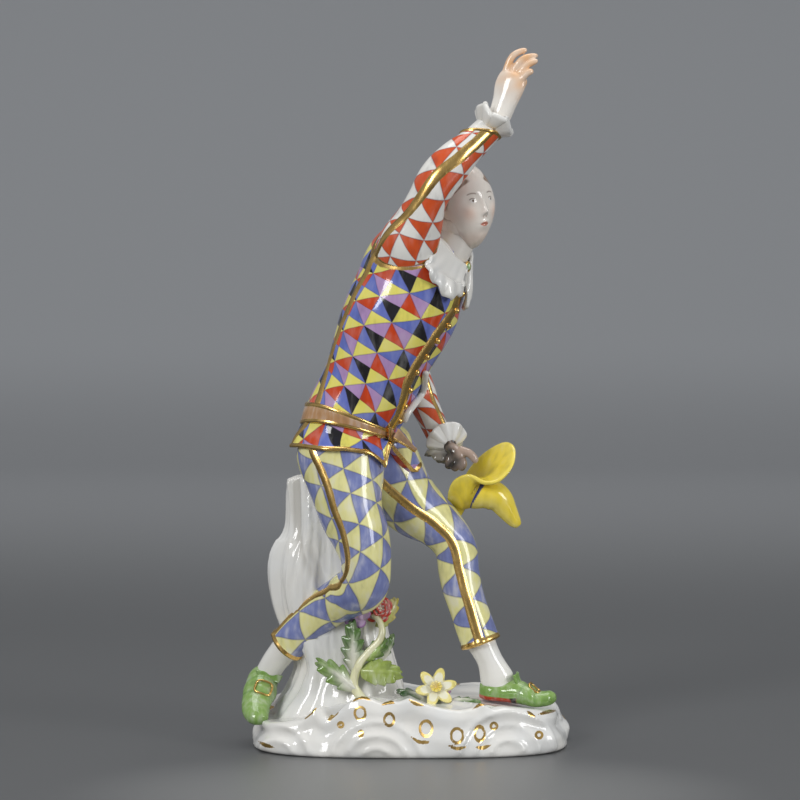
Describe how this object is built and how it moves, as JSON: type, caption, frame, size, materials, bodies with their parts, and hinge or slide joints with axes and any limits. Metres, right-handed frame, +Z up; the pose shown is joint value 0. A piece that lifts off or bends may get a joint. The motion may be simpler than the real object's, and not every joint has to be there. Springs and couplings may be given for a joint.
{
  "type": "porcelain comedian figure",
  "caption": "Porcelain figure of a stage comedian in a patchwork suit, one arm raised and a hat in the other hand, leaning on a tree stump on a scrolled base with applied flowers.",
  "frame": {"origin": "middle of the underside", "axes": "+X to the side that the raised arm points to, +Y away from the front, +Z up"},
  "size_m": [0.0989, 0.067, 0.2091],
  "materials": {
    "porcelain": "clear glossy glaze over white hard-paste porcelain, with overglaze enamel colours and burnished gilding"
  },
  "bodies": {
    "root": {"comedian_figure": "porcelain"}
  },
  "joints": []
}
